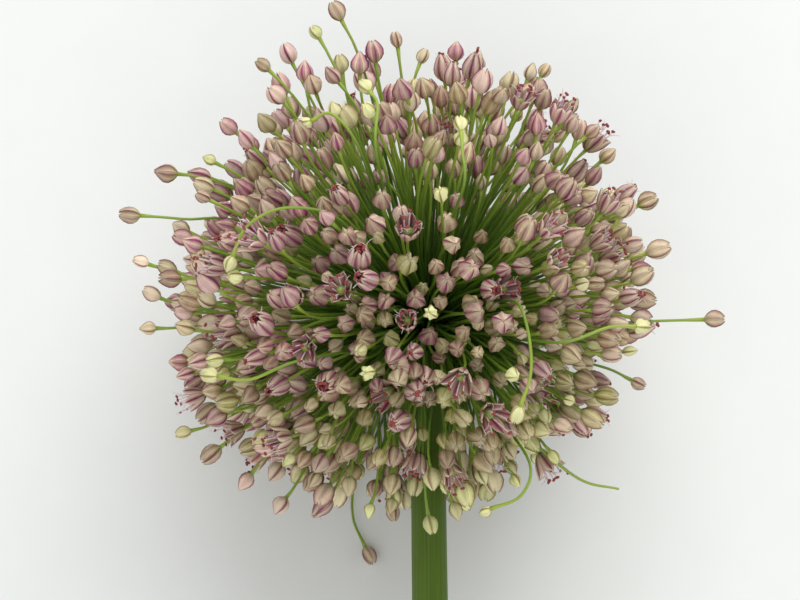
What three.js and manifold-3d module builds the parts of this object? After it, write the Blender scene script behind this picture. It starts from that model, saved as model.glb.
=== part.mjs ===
// Allium flower head: a round umbel of stalked florets on a leafless scape, cut and laid on its side.
//
// Units are millimetres. +Z is up and Z = 0 is the surface that the cut flower lies on. The crown of
// the umbel points to +Y, the cut end of the scape to -Y, and the origin is under the middle of the
// whole part.
//
// Florets are placed in the head's own frame: origin at the middle of the receptacle, +Y along the
// scape towards the crown, +X to the right and +Z to the upper side. The head is then tipped about X
// until the cut end of the scape touches the surface.
//
// The umbel is made of cymes. Each cyme is one closed solid: a small foot on the receptacle and the
// florets that spring from it, a pedicel and a bud or flower each. Long single florets that stand
// clear of the ball are cymes of one floret. The cymes here hold the florets that give the ball its
// outer shape, which is about a third of those on a real one.

import * as THREE from "three";
import { mergeVertices } from "three/addons/utils/BufferGeometryUtils.js";
import Module from "manifold-3d";

const wasm = await Module();
wasm.setup();

const { degToRad } = THREE.MathUtils;

// Scape and receptacle
const SCAPE_LENGTH = 110; // middle of the receptacle to the cut end
const SCAPE_RADIUS = 3.15; // just below the umbel
const CUT_RADIUS = 3.6; // at the cut end
const SCAPE_BOW = 2; // how far the cut end stands to one side
const SCAPE_SIDES = 20;
const RECEPTACLE_RADIUS = 6.6;

// Umbel: an egg-shaped ball, a little off the scape's own line
const BALL_CENTRE = new THREE.Vector3(-4.5, 12, 0);
const BALL_RADII = new THREE.Vector3(44, 41.5, 44);
const PRESSED_FLAT = 3.5; // how far the ball sinks where it rests
const LOWEST_POLAR = degToRad(166); // polar angle, from the crown, of the florets beside the scape
const LOWEST_FOOT = degToRad(128); // polar angle on the receptacle where their pedicels start

// Florets
const SPRAY_COUNT = 730; // florets spread evenly round the head, before the thin patch is opened
const PEDICEL_RADIUS = 0.4; // where it meets the bud
const PEDICEL_FOOT_RADIUS = 0.2; // where it springs from the receptacle
const BUD_GAP = 3.9; // between the middles of two buds side by side
const STALK_GAP = 2.2; // between the middle of a bud and a pedicel that passes it
const SCATTER = 0.06; // radians that a floret strays from an even spread
const RELAX_PASSES = 60;
const MODELLED_EVERY = 2; // one floret in this many is modelled here

// Length, widest radius and mouth radius of each kind of floret, shut or open
const KINDS = {
  bud: { length: 4.5, radius: 1.75, mouth: 0 },
  small: { length: 3.5, radius: 1.3, mouth: 0 },
  opening: { length: 4.9, radius: 1.9, mouth: 0.9 },
  open: { length: 4.7, radius: 2.1, mouth: 2.2 },
};

// Cymes
const FOOT_COUNT = 54;
const FOOT_RADIUS = 1.15;
const FOOT_HEIGHT = 1.2;
const FOOT_SIDES = 6;
const FIT_GAP = 0.3; // between the receptacle and each foot, and between florets of two cymes
const SLIVER = 0.01; // detail smaller than this is dropped where solids are joined
const FOOT_SPREAD = 0.45; // how far pedicels spread over their foot, as a share of the cyme's own spread

// The upper side has a thin patch between the crown and the front, where the pedicels show
const THIN_PATCH = { towards: new THREE.Vector3(0.1, 0.64, 0.76), wide: 0.4, high: 0.2, kept: 0.3 };

// Florets on the outline and on the upper side that give this head its own look: x, y, kind.
// Those on the outline keep the height z given last; the others lie on the ball's upper face.
const OUTLINE_FLORETS = [
  [-20.3, 56.2, "small", 3],
  [-25.5, 53, "bud", -4],
  [-29.5, 50, "small", 6],
  [-5.6, 54.5, "small", 8],
  [5.2, 53.5, "bud", -2],
  [8.5, 50.5, "small", 10],
  [18.4, 49.2, "small", 2],
  [21.5, 50, "small", -5],
  [26, 43, "small", 4],
  [29.5, 38.5, "bud", 7],
  [33, 34.5, "bud", -3],
  [39.8, 26, "bud", 0],
  [41, 17, "bud", 5],
  [31.9, -9.2, "bud", 3],
  [-51.5, 15, "small", 4],
  [-50.5, 9.5, "bud", -6],
  [-50.4, 3, "small", 2],
  [-47.2, 31, "bud", 0],
  [-44.5, -16, "small", -4],
  [-26.6, -29, "bud", 4],
  [-33.3, -25, "bud", -3],
  [-19, -28.8, "opening", 6],
  [-10.4, -29.3, "small", 12],
  [0.4, -31.5, "small", 11],
  [5, -29.5, "bud", 12],
];
const FACE_FLORETS = [
  [-21, 0, "open"],
  [-15, 10, "open"],
  [-25.7, -15.7, "open"],
  [-29.5, 18.5, "open"],
  [-34, 18, "opening"],
  [-3.6, 19.8, "open"],
  [20.2, 20.3, "open"],
  [21.5, 15, "open"],
  [16, 43, "open"],
  [23, 41, "open"],
  [19.3, -4, "opening"],
  [-28, 4, "opening"],
  [-42, -9.5, "open"],
  [-36.5, 14, "open"],
  [31, 25, "open"],
  [-10.5, 11.5, "opening"],
  [0, 6, "small"],
  [-10.4, -4, "small"],
  [5.2, 35.5, "small"],
  [1.8, 25.7, "small"],
  [-10.4, 40.3, "small"],
  [-33, 12, "small"],
  [14, -4.5, "small"],
  [-36.7, -2.3, "small"],
];

// Long florets that stand clear of the ball, each a cyme of its own. The route ends where the bud
// starts, or at the bare tip.
const LONG_FLORETS = {
  long_floret_left: { route: [[-30, 21, 2], [-44, 22.6, 3], [-51.4, 23.2, 3]], kind: "bud" },
  long_floret_top: { route: [[-9, 40, 3], [-12.5, 52, 4], [-15.4, 58, 4]], kind: "bud" },
  long_floret_right: { route: [[20, 3, 3], [38, 4.2, 3], [49.4, 4.6, 3]], kind: "bud" },
  long_floret_low_right: { route: [[18, -1, 2], [31, -3.8, 2], [36.4, -6.2, 2]], kind: "small" },
  long_floret_low_left: { route: [[-20, -9, 2], [-32, -14.5, 2], [-37.2, -18.3, 1]], kind: "bud" },
  trailing_floret: {
    route: [[-9, -16, -16], [-13.4, -26, -27], [-13.9, -34, -30], [-11.6, -40, -30]],
    kind: "small",
  },
  hanging_floret: { route: [[-5.5, -12, -9], [-7.2, -20, -13], [-6.4, -29.4, -12]], kind: "small" },
  bare_pedicel: { route: [[9, -9, 4], [18.6, -17.2, 6], [27, -23.8, 6], [34, -25.6, 5]], kind: null },
};

// Colours
const STALK_GREEN = new THREE.MeshStandardMaterial({ color: 0x5a7d2b, roughness: 0.55, metalness: 0 });
const SCAPE_GREEN = new THREE.MeshStandardMaterial({ color: 0x4a6426, roughness: 0.5, metalness: 0 });
const FLORET_MAUVE = new THREE.MeshStandardMaterial({ color: 0xa07a80, roughness: 0.6, metalness: 0 });

// The head is tipped until the ball, pressed flat, and the cut end of the scape both touch Z = 0.
const REACH = SCAPE_LENGTH + BALL_CENTRE.y;
const TILT =
  Math.asin((BALL_RADII.z - PRESSED_FLAT) / Math.hypot(REACH, CUT_RADIUS)) - Math.atan(CUT_RADIUS / REACH);
const RECEPTACLE_HEIGHT = SCAPE_LENGTH * Math.sin(TILT) + CUT_RADIUS * Math.cos(TILT);
const UP = new THREE.Vector3(0, Math.sin(TILT), Math.cos(TILT)); // the world's +Z in the head's frame

const GOLDEN_ANGLE = Math.PI * (3 - Math.sqrt(5));

// The same number from 0 to 1 each time for a floret and a purpose.
function chance(floret, purpose) {
  let h = (Math.imul(floret + 1, 374761393) + Math.imul(purpose + 1, 668265263)) >>> 0;
  h = Math.imul(h ^ (h >>> 13), 1274126177) >>> 0;
  return ((h ^ (h >>> 16)) >>> 0) / 2 ** 32;
}

// Unit vector at a polar angle from the crown and an angle round the scape.
function towards(polar, round) {
  return new THREE.Vector3(
    Math.sin(polar) * Math.cos(round),
    Math.cos(polar),
    Math.sin(polar) * Math.sin(round),
  );
}

// n unit vectors spread evenly from the crown down to a polar angle.
function evenSpread(n, lowest) {
  const drop = (1 - Math.cos(lowest)) / n;
  return Array.from({ length: n }, (_, i) => towards(Math.acos(1 - drop * (i + 0.5)), i * GOLDEN_ANGLE));
}

// How far the ball's surface is from the receptacle in a direction.
function ballReach(direction) {
  const d = direction.clone().divide(BALL_RADII);
  const c = BALL_CENTRE.clone().divide(BALL_RADII);
  const half = d.dot(c);
  return (half + Math.sqrt(half * half - d.lengthSq() * (c.lengthSq() - 1))) / d.lengthSq();
}

// The point of the ball's upper face over x, y.
function onUpperFace(x, y) {
  const across = ((x - BALL_CENTRE.x) / BALL_RADII.x) ** 2 + ((y - BALL_CENTRE.y) / BALL_RADII.y) ** 2;
  return new THREE.Vector3(x, y, BALL_RADII.z * Math.sqrt(Math.max(0, 1 - across)));
}

function inThinPatch(direction) {
  const middle = THIN_PATCH.towards.clone().normalize();
  const across = (direction.x - middle.x) / THIN_PATCH.wide;
  const along = (Math.asin(direction.y) - Math.asin(middle.y)) / THIN_PATCH.high;
  return direction.z > 0 && across * across + along * along < 1;
}

function kindOf(i) {
  const lot = chance(i, 3);
  if (lot < 0.15) return "small";
  if (lot < 0.25) return "opening";
  return lot < 0.32 ? "open" : "bud";
}

// A floret has a direction and a distance from the receptacle to the middle of its bud, and a kind.
// The placed ones hold still while the others make room.
function placedFloret(point, kind) {
  return { direction: point.clone().normalize(), distance: point.length(), kind, held: true };
}

function sprayFloret(direction, i) {
  const stray = towards(Math.PI * chance(i, 0), 2 * Math.PI * chance(i, 1)).multiplyScalar(SCATTER);
  const strayed = direction.clone().add(stray).normalize();
  const depth = 1 - 0.3 * chance(i, 2) ** 1.7;
  return { direction: strayed, distance: ballReach(strayed) * depth, kind: kindOf(i), held: false };
}

function allFlorets() {
  const outline = OUTLINE_FLORETS.map(([x, y, kind, z]) => placedFloret(new THREE.Vector3(x, y, z), kind));
  const face = FACE_FLORETS.map(([x, y, kind]) => placedFloret(onUpperFace(x, y), kind));
  const spray = evenSpread(SPRAY_COUNT, LOWEST_POLAR)
    .map(sprayFloret)
    .filter((f, i) => !inThinPatch(f.direction) || chance(i, 4) < THIN_PATCH.kept);
  const florets = [...outline, ...face, ...spray];
  makeRoom(florets);
  return florets;
}

// Turns the directions apart until buds clear buds and pedicels clear the buds that they pass.
function makeRoom(florets) {
  for (let pass = 0; pass < RELAX_PASSES; pass += 1) {
    const moves = florets.map(() => new THREE.Vector3());
    florets.forEach((a, i) => {
      for (let j = i + 1; j < florets.length; j += 1) {
        const b = florets[j];
        const apart = a.direction.clone().sub(b.direction);
        const short = neededAngle(a, b) - apart.length();
        if (short <= 0) continue;
        apart.setLength(short / 2);
        moves[i].add(apart);
        moves[j].sub(apart);
      }
    });
    florets.forEach((f, i) => {
      if (!f.held) f.direction.add(moves[i]).normalize();
    });
  }
}

function neededAngle(a, b) {
  const nearer = Math.min(a.distance, b.distance);
  const between = a.distance - b.distance;
  const sideBySide = Math.sqrt(Math.max(0, BUD_GAP ** 2 - between ** 2));
  return Math.max(sideBySide, STALK_GAP) / nearer;
}

// Where on the receptacle a floret of this direction has its foot, as a unit vector.
function footDirection(direction) {
  const polar = (Math.acos(direction.y) * LOWEST_FOOT) / LOWEST_POLAR;
  return towards(polar, Math.atan2(direction.z, direction.x));
}

function nearest(direction, choices) {
  let best = 0;
  choices.forEach((c, i) => {
    if (c.distanceToSquared(direction) < choices[best].distanceToSquared(direction)) best = i;
  });
  return best;
}

// A closed tube through rings of 3 or 6 corners, in the head's frame. Each ring has a centre, an
// axis, a radius and its number of sides, which may double from one ring to the next. The tube
// ends in a point if a tip is given.
function tubeGeometry(rings, tip) {
  const points = [];
  const faces = [];
  const starts = rings.map((ring) => {
    const start = points.length;
    const side = sideways(ring.axis);
    const other = ring.axis.clone().cross(side);
    for (let k = 0; k < ring.sides; k += 1) {
      const turn = (2 * Math.PI * k) / ring.sides;
      points.push(
        ring.centre
          .clone()
          .addScaledVector(side, ring.radius * Math.cos(turn))
          .addScaledVector(other, ring.radius * Math.sin(turn)),
      );
    }
    return start;
  });
  for (let r = 0; r + 1 < rings.length; r += 1) {
    const [n, m] = [rings[r].sides, rings[r + 1].sides];
    for (let k = 0; k < n; k += 1) {
      const low = starts[r] + k;
      const lowNext = starts[r] + ((k + 1) % n);
      const up = (step) => starts[r + 1] + ((k * (m / n) + step) % m);
      for (let step = 0; step < m / n; step += 1) faces.push([low, up(step + 1), up(step)]);
      faces.push([low, lowNext, up(m / n)]);
    }
  }
  const first = rings[0];
  for (let k = 1; k + 1 < first.sides; k += 1) faces.push([0, k + 1, k]);
  const last = starts.at(-1);
  const sides = rings.at(-1).sides;
  if (tip) {
    points.push(tip);
    for (let k = 0; k < sides; k += 1) faces.push([last + k, last + ((k + 1) % sides), points.length - 1]);
  } else {
    for (let k = 1; k + 1 < sides; k += 1) faces.push([last, last + k, last + k + 1]);
  }
  const geometry = new THREE.BufferGeometry().setFromPoints(points);
  return geometry.setIndex(faces.flat());
}

// A unit vector square to the axis, which turns smoothly as the axis does.
function sideways(axis) {
  const reference = Math.abs(axis.y) < 0.9 ? new THREE.Vector3(0, 1, 0) : new THREE.Vector3(1, 0, 0);
  return reference.cross(axis).normalize();
}

// The rings and tip of a bud or flower that starts at a joint and points along an axis.
function budRings(joint, axis, kind) {
  const { length, radius, mouth } = KINDS[kind];
  const at = (share) => joint.clone().addScaledVector(axis, length * share);
  const rings = [{ centre: at(0.42), axis, radius, sides: 6 }];
  if (mouth > 0) rings.push({ centre: at(0.96), axis, radius: mouth, sides: 6 });
  return { rings, tip: mouth > 0 ? null : at(1) };
}

// Raises a point so that what is this far round it stays above the surface.
function liftedClear(point, clear) {
  const height = RECEPTACLE_HEIGHT + point.dot(UP);
  return point.clone().addScaledVector(UP, Math.max(0, clear - height));
}

// A floret's axis line: from its foot to the joint under its bud, and on to the bud's tip.
function axisLine(floret, foot) {
  const { length, radius } = KINDS[floret.kind];
  const middle = liftedClear(floret.direction.clone().multiplyScalar(floret.distance), radius);
  const axis = middle.clone().sub(foot).normalize();
  const pressed = RECEPTACLE_HEIGHT + middle.dot(UP) < radius + length * 0.5 * Math.abs(axis.dot(UP));
  if (pressed) axis.addScaledVector(UP, -axis.dot(UP)).normalize(); // it lies along the surface
  return { joint: middle.addScaledVector(axis, -length / 2), axis };
}

function floretGeometry({ start, joint, axis, kind }) {
  const along = joint.clone().sub(start).normalize();
  const between = along.clone().add(axis).normalize();
  const bud = budRings(joint, axis, kind);
  const rings = [
    { centre: start, axis: along, radius: PEDICEL_FOOT_RADIUS, sides: 3 },
    { centre: joint, axis: between, radius: PEDICEL_RADIUS, sides: 3 },
    ...bud.rings,
  ];
  return tubeGeometry(rings, bud.tip);
}

// A long floret's stalk as points, from its foot to its tip, with its bud clear of the surface.
function stalkPoints({ route, kind }, start) {
  const clear = kind ? KINDS[kind].radius : PEDICEL_RADIUS;
  const through = [start, ...route.map((p) => liftedClear(new THREE.Vector3(...p), clear))];
  return new THREE.CatmullRomCurve3(through).getSpacedPoints(3 * route.length);
}

function longFloretGeometry({ kind }, points) {
  const rings = points.map((centre, k) => ({
    centre,
    axis: directionAt(points, k),
    radius: PEDICEL_RADIUS,
    sides: 3,
  }));
  if (!kind) return tubeGeometry(rings, null);
  const bud = budRings(points.at(-1), rings.at(-1).axis, kind);
  return tubeGeometry([...rings, ...bud.rings], bud.tip);
}

// The direction in which a line of points runs at one of them.
function directionAt(points, k) {
  const before = points[Math.max(0, k - 1)];
  const after = points[Math.min(points.length - 1, k + 1)];
  return after.clone().sub(before).normalize();
}

// The straight round stretches that a stalk and its bud fill, to keep cymes clear of each other.
function stretchesOf(points, axis, kind) {
  const stretches = points.slice(1).map((end, k) => ({
    line: new THREE.Line3(points[k], end),
    radius: PEDICEL_RADIUS,
  }));
  if (!kind) return stretches;
  const { length, radius } = KINDS[kind];
  const at = (reach) => points.at(-1).clone().addScaledVector(axis, reach);
  stretches.push({ line: new THREE.Line3(at(radius), at(length - radius / 2)), radius });
  return stretches;
}

function tooClose(a, b) {
  const clear = a.radius + b.radius + FIT_GAP;
  const point = new THREE.Vector3();
  const near = new THREE.Vector3();
  const steps = 16;
  for (let step = 0; step <= steps; step += 1) {
    a.line.at(step / steps, point);
    b.line.closestPointToPoint(point, true, near);
    if (near.distanceTo(point) < clear) return true;
  }
  return false;
}

function clash(a, b) {
  if (a.foot === b.foot) return false;
  return a.stretches.some((one) => b.stretches.some((other) => tooClose(one, other)));
}

function solidOf(geometry) {
  const bare = new THREE.BufferGeometry().setAttribute("position", geometry.getAttribute("position"));
  const merged = mergeVertices(bare.setIndex(geometry.index), 1e-4);
  return new wasm.Manifold(
    new wasm.Mesh({
      numProp: 3,
      vertProperties: merged.attributes.position.array,
      triVerts: new Uint32Array(merged.index.array),
    }),
  );
}

function geometryOf(solid) {
  const mesh = solid.getMesh();
  return new THREE.BufferGeometry()
    .setAttribute("position", new THREE.BufferAttribute(mesh.vertProperties, 3))
    .setIndex(new THREE.BufferAttribute(mesh.triVerts, 1));
}

// One solid from several, without the slivers left where their surfaces cross.
function joined(solids) {
  return wasm.Manifold.union(solids).simplify(SLIVER);
}

// The small pad on the receptacle that a cyme's pedicels spring from.
function footSolid(direction) {
  const pad = new THREE.CylinderGeometry(FOOT_RADIUS * 0.8, FOOT_RADIUS, FOOT_HEIGHT, FOOT_SIDES);
  const upright = new THREE.Vector3(0, 1, 0);
  pad.applyQuaternion(new THREE.Quaternion().setFromUnitVectors(upright, direction));
  const middle = direction.clone().multiplyScalar(RECEPTACLE_RADIUS + FIT_GAP + FOOT_HEIGHT / 2);
  pad.translate(middle.x, middle.y, middle.z);
  return solidOf(pad);
}

// The stem with its swollen top, on its own axis.
function scapeGeometry() {
  const neck = Math.sqrt(RECEPTACLE_RADIUS ** 2 - SCAPE_RADIUS ** 2);
  const profile = [new THREE.Vector2(0, -SCAPE_LENGTH)];
  for (let step = 0; step <= 6; step += 1) {
    const t = step / 6;
    const y = THREE.MathUtils.lerp(-SCAPE_LENGTH, -neck - 7, t);
    profile.push(new THREE.Vector2(THREE.MathUtils.lerp(CUT_RADIUS, SCAPE_RADIUS, t), y));
  }
  for (let angle = 32; angle <= 180; angle += 14.8) {
    const a = degToRad(angle);
    profile.push(new THREE.Vector2(RECEPTACLE_RADIUS * Math.sin(a), -RECEPTACLE_RADIUS * Math.cos(a)));
  }
  profile.at(-1).x = 0;
  const geometry = new THREE.LatheGeometry(profile, SCAPE_SIDES);
  const place = geometry.getAttribute("position");
  for (let k = 0; k < place.count; k += 1) {
    place.setX(k, place.getX(k) + SCAPE_BOW * (Math.min(0, place.getY(k)) / SCAPE_LENGTH) ** 2);
  }
  return geometry;
}

function addMesh(group, name, geometry, material) {
  const mesh = new THREE.Mesh(geometry, material);
  mesh.name = name;
  group.add(mesh);
}

// The zone of the head that a cyme belongs to, for its name.
function zoneOf(direction) {
  const polar = THREE.MathUtils.radToDeg(Math.acos(direction.y));
  if (polar < 24) return "crown";
  if (polar < 54) return "shoulder";
  return polar < 88 ? "middle" : "skirt";
}

// Where a pedicel starts inside its foot, for florets in this direction.
function pedicelStart(direction, foot) {
  const lean = footDirection(direction).sub(foot).multiplyScalar(FOOT_SPREAD);
  lean.clampLength(0, (0.6 * FOOT_RADIUS) / RECEPTACLE_RADIUS);
  return lean.add(foot).setLength(RECEPTACLE_RADIUS + FIT_GAP + FOOT_HEIGHT / 2);
}

// Gives each long floret the free foot nearest to where its route sets off.
function routeLongFlorets(feet, free) {
  return Object.entries(LONG_FLORETS).map(([name, floret]) => {
    const aim = footDirection(new THREE.Vector3(...floret.route[0]).normalize());
    const foot = takeOut(free, nearest(aim, free.map((i) => feet[i])));
    const points = stalkPoints(floret, pedicelStart(feet[foot], feet[foot]));
    const stretches = stretchesOf(points, directionAt(points, points.length - 1), floret.kind);
    return { ...floret, name, foot, points, stretches };
  });
}

function takeOut(list, i) {
  return list.splice(i, 1)[0];
}

// Chooses the florets to model, each with its foot, leaving out any that would touch another cyme.
function chooseFlorets(feet, free, longFlorets) {
  const chosen = [];
  const open = free.map((i) => feet[i]);
  allFlorets().forEach((floret, i) => {
    if (!floret.held && i % MODELLED_EVERY) return;
    const foot = free[nearest(footDirection(floret.direction), open)];
    const start = pedicelStart(floret.direction, feet[foot]);
    const { joint, axis } = axisLine(floret, start);
    const stretches = stretchesOf([start, joint], axis, floret.kind);
    const placed = { ...floret, foot, start, joint, axis, stretches };
    if (![...longFlorets, ...chosen].some((other) => clash(placed, other))) chosen.push(placed);
  });
  return chosen;
}

function buildHead() {
  const head = new THREE.Group();
  const feet = evenSpread(FOOT_COUNT, LOWEST_FOOT);
  const free = feet.map((_, i) => i);
  const longFlorets = routeLongFlorets(feet, free);
  const florets = chooseFlorets(feet, free, longFlorets);

  addMesh(head, "scape", scapeGeometry(), SCAPE_GREEN);
  for (const floret of longFlorets) {
    const solid = joined([footSolid(feet[floret.foot]), solidOf(longFloretGeometry(floret, floret.points))]);
    addMesh(head, floret.name, geometryOf(solid), floret.kind ? FLORET_MAUVE : STALK_GREEN);
  }
  const counts = {};
  for (const foot of free) {
    const own = florets.filter((f) => f.foot === foot).map((f) => solidOf(floretGeometry(f)));
    const cyme = joined([footSolid(feet[foot]), ...own]);
    const zone = zoneOf(feet[foot]);
    counts[zone] = (counts[zone] ?? 0) + 1;
    addMesh(head, `${zone}_cyme_${String(counts[zone]).padStart(2, "0")}`, geometryOf(cyme), FLORET_MAUVE);
  }
  return head;
}

const head = buildHead();
head.rotation.x = TILT;
head.position.z = RECEPTACLE_HEIGHT;

// The origin goes under the middle of the whole part.
const flower = new THREE.Group().add(head);
const box = new THREE.Box3().setFromObject(flower, true);
head.position.x -= (box.min.x + box.max.x) / 2;
head.position.y -= (box.min.y + box.max.y) / 2;

export default flower;
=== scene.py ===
"""Looks of the cut allium flower head: florets, pedicels and scape, lying on a pale floor.

The head is laid out in millimetres in its own frame, with the middle of the receptacle at the origin,
+Y along the scape towards the crown and +Z to the upper side, by the same rules as the CAD model. It
is then tipped onto the floor and put in the row frame, in metres.
"""

import math

import bpy
import numpy as np
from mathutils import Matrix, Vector


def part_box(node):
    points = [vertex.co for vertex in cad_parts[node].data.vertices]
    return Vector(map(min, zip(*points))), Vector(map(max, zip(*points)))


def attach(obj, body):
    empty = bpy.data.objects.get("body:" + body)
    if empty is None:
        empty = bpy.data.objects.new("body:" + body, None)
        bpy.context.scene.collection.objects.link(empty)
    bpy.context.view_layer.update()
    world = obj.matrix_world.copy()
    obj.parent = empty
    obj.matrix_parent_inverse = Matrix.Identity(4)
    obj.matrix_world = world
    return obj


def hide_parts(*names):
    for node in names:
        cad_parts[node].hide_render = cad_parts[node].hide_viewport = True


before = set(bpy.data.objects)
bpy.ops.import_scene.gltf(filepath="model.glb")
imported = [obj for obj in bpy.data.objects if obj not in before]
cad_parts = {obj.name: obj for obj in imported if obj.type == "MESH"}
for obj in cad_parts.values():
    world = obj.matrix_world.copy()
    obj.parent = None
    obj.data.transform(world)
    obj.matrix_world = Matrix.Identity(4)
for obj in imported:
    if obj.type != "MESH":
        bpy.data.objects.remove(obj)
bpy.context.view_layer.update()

MM = 0.001

# The layout of the head, as in the CAD model
SCAPE_LENGTH = 110
SCAPE_RADIUS = 3.15
CUT_RADIUS = 3.6
SCAPE_BOW = 2
RECEPTACLE_RADIUS = 6.6
BALL_CENTRE = np.array([-4.5, 12, 0])
BALL_RADII = np.array([44, 41.5, 44])
PRESSED_FLAT = 3.5
LOWEST_POLAR = math.radians(166)
LOWEST_FOOT = math.radians(128)
SPRAY_COUNT = 730
PEDICEL_RADIUS = 0.4
BUD_GAP = 3.9
STALK_GAP = 2.2
SCATTER = 0.06
RELAX_PASSES = 60
KINDS = {  # length and widest radius
    "bud": (4.5, 1.75),
    "small": (3.5, 1.3),
    "opening": (4.9, 1.9),
    "open": (4.7, 2.1),
}
FOOT_COUNT = 54
THIN_PATCH = {"towards": np.array([0.1, 0.64, 0.76]), "wide": 0.4, "high": 0.2, "kept": 0.3}
OUTLINE_FLORETS = [
    (-20.3, 56.2, "small", 3),
    (-25.5, 53, "bud", -4),
    (-29.5, 50, "small", 6),
    (-5.6, 54.5, "small", 8),
    (5.2, 53.5, "bud", -2),
    (8.5, 50.5, "small", 10),
    (18.4, 49.2, "small", 2),
    (21.5, 50, "small", -5),
    (26, 43, "small", 4),
    (29.5, 38.5, "bud", 7),
    (33, 34.5, "bud", -3),
    (39.8, 26, "bud", 0),
    (41, 17, "bud", 5),
    (31.9, -9.2, "bud", 3),
    (-51.5, 15, "small", 4),
    (-50.5, 9.5, "bud", -6),
    (-50.4, 3, "small", 2),
    (-47.2, 31, "bud", 0),
    (-44.5, -16, "small", -4),
    (-26.6, -29, "bud", 4),
    (-33.3, -25, "bud", -3),
    (-19, -28.8, "opening", 6),
    (-10.4, -29.3, "small", 12),
    (0.4, -31.5, "small", 11),
    (5, -29.5, "bud", 12),
]
FACE_FLORETS = [
    (-21, 0, "open"),
    (-15, 10, "open"),
    (-25.7, -15.7, "open"),
    (-29.5, 18.5, "open"),
    (-34, 18, "opening"),
    (-3.6, 19.8, "open"),
    (20.2, 20.3, "open"),
    (21.5, 15, "open"),
    (16, 43, "open"),
    (23, 41, "open"),
    (19.3, -4, "opening"),
    (-28, 4, "opening"),
    (-42, -9.5, "open"),
    (-36.5, 14, "open"),
    (31, 25, "open"),
    (-10.5, 11.5, "opening"),
    (0, 6, "small"),
    (-10.4, -4, "small"),
    (5.2, 35.5, "small"),
    (1.8, 25.7, "small"),
    (-10.4, 40.3, "small"),
    (-33, 12, "small"),
    (14, -4.5, "small"),
    (-36.7, -2.3, "small"),
]
LONG_FLORETS = {
    "long_floret_left": ([(-30, 21, 2), (-44, 22.6, 3), (-51.4, 23.2, 3)], "bud"),
    "long_floret_top": ([(-9, 40, 3), (-12.5, 52, 4), (-15.4, 58, 4)], "bud"),
    "long_floret_right": ([(20, 3, 3), (38, 4.2, 3), (49.4, 4.6, 3)], "bud"),
    "long_floret_low_right": ([(18, -1, 2), (31, -3.8, 2), (36.4, -6.2, 2)], "small"),
    "long_floret_low_left": ([(-20, -9, 2), (-32, -14.5, 2), (-37.2, -18.3, 1)], "bud"),
    "trailing_floret": ([(-9, -16, -16), (-13.4, -26, -27), (-13.9, -34, -30), (-11.6, -40, -30)], "small"),
    "hanging_floret": ([(-5.5, -12, -9), (-7.2, -20, -13), (-6.4, -29.4, -12)], "small"),
    "bare_pedicel": ([(9, -9, 4), (18.6, -17.2, 6), (27, -23.8, 6), (34, -25.6, 5)], None),
}

REACH = SCAPE_LENGTH + BALL_CENTRE[1]
PRESSED_HEIGHT = BALL_RADII[2] - PRESSED_FLAT
TILT = math.asin(PRESSED_HEIGHT / math.hypot(REACH, CUT_RADIUS)) - math.atan(CUT_RADIUS / REACH)
RECEPTACLE_HEIGHT = SCAPE_LENGTH * math.sin(TILT) + CUT_RADIUS * math.cos(TILT)
UP = np.array([0, math.sin(TILT), math.cos(TILT)])
GOLDEN_ANGLE = math.pi * (3 - math.sqrt(5))

# What the closer shape of the florets adds
ARCHING_FLORETS = [  # pedicels that wander over the face of the head, each to a small pale bud
    [(-9, 12, 24), (-15, 21.5, 35), (-24, 23.5, 37), (-30.5, 20.5, 36.5), (-33, 15.5, 35.5)],
    [(12, 8, 30), (14.6, 7.5, 41), (16.2, 2.5, 43.8), (16.6, -4, 43), (15, -9.5, 40.5)],
    [(2, 18, 24), (5.6, 27, 38), (5.4, 33, 38.5), (5.2, 36.4, 36)],
    [(-8, 22, 22), (-12, 34, 32), (-16.5, 39.5, 32.5), (-20, 38.4, 31)],
    [(12, -12, 18), (17, -19.5, 30), (15.5, -25, 31), (10.5, -27.5, 28)],
    [(12, 2, 22), (22, 1, 37), (30, 3.5, 34), (35, 3.6, 29)],
    [(-9, 0, 24), (-22, -2, 39), (-30, -5.2, 36), (-35.8, -4.8, 32)],
    [(-6, 20, 24), (-9, 33, 37), (-8.8, 41, 32), (-10.2, 43.5, 29.5)],
]
MODELLED_EVERY = 2  # the CAD model has one floret in this many
SKIRT_GONE = 0.6  # of the rest, low on the ball
INFILL_COUNT = 660  # florets between those of the CAD model, mostly deeper in the head
INFILL_GAP = 3.2
INFILL_SEED = 2000
ARCHING_SEED = 4000
LONG_SEED = 900
INFILL_PASSES = 16
PEDICEL_SIDES = 5
PEDICEL_STEPS = 8
PEDICEL_SPREAD = 0.75  # how far pedicels spread over the receptacle, as a share of an even spread
PEDICEL_SWAY = 2.2  # how far pedicels wander off their line
BUD_SIZE = 0.87  # of the CAD model's buds, on average
SIZE_SPREAD = 0.13  # buds are this share larger or smaller
NOD = 0.5  # radians that a bud leans off its pedicel's line, at most
BUD_SHARES = [0.0, 0.05, 0.16, 0.34, 0.55, 0.75, 0.9, 0.975]  # of the length
POINTED_BUD = [0.2, 0.42, 0.78, 1.0, 0.92, 0.58, 0.25, 0.09]  # of the widest radius
STAR_BUD = [0.2, 0.4, 0.74, 0.98, 0.98, 0.77, 0.49, 0.28]
LOBES_FROM = 0.15  # share of a bud's length where its tepals start to part
PUCKERS = (0.035, 0.02)  # coarse and fine, as shares of the radius
KEEL_ANGLES = [0, 9, 28, 43]  # degrees off a keel where a bud's surface has an edge
OUTER_EDGE = 38  # degrees that an outer tepal reaches off its keel
TEPAL_SHEET = 0.09  # thickness
INNER_SET_IN = 0.16  # how far the inner tepals sit inside the outer ones
TEPAL_SHARES = [0, 0.12, 0.28, 0.45, 0.62, 0.8, 0.92, 1.0]
TEPAL_ACROSS = [-1, -0.6, 0, 0.6, 1]
SCAPE_SIDES = 96
RIB_HEIGHT = 0.11  # keeps the ribs inside the CAD model's radius

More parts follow.
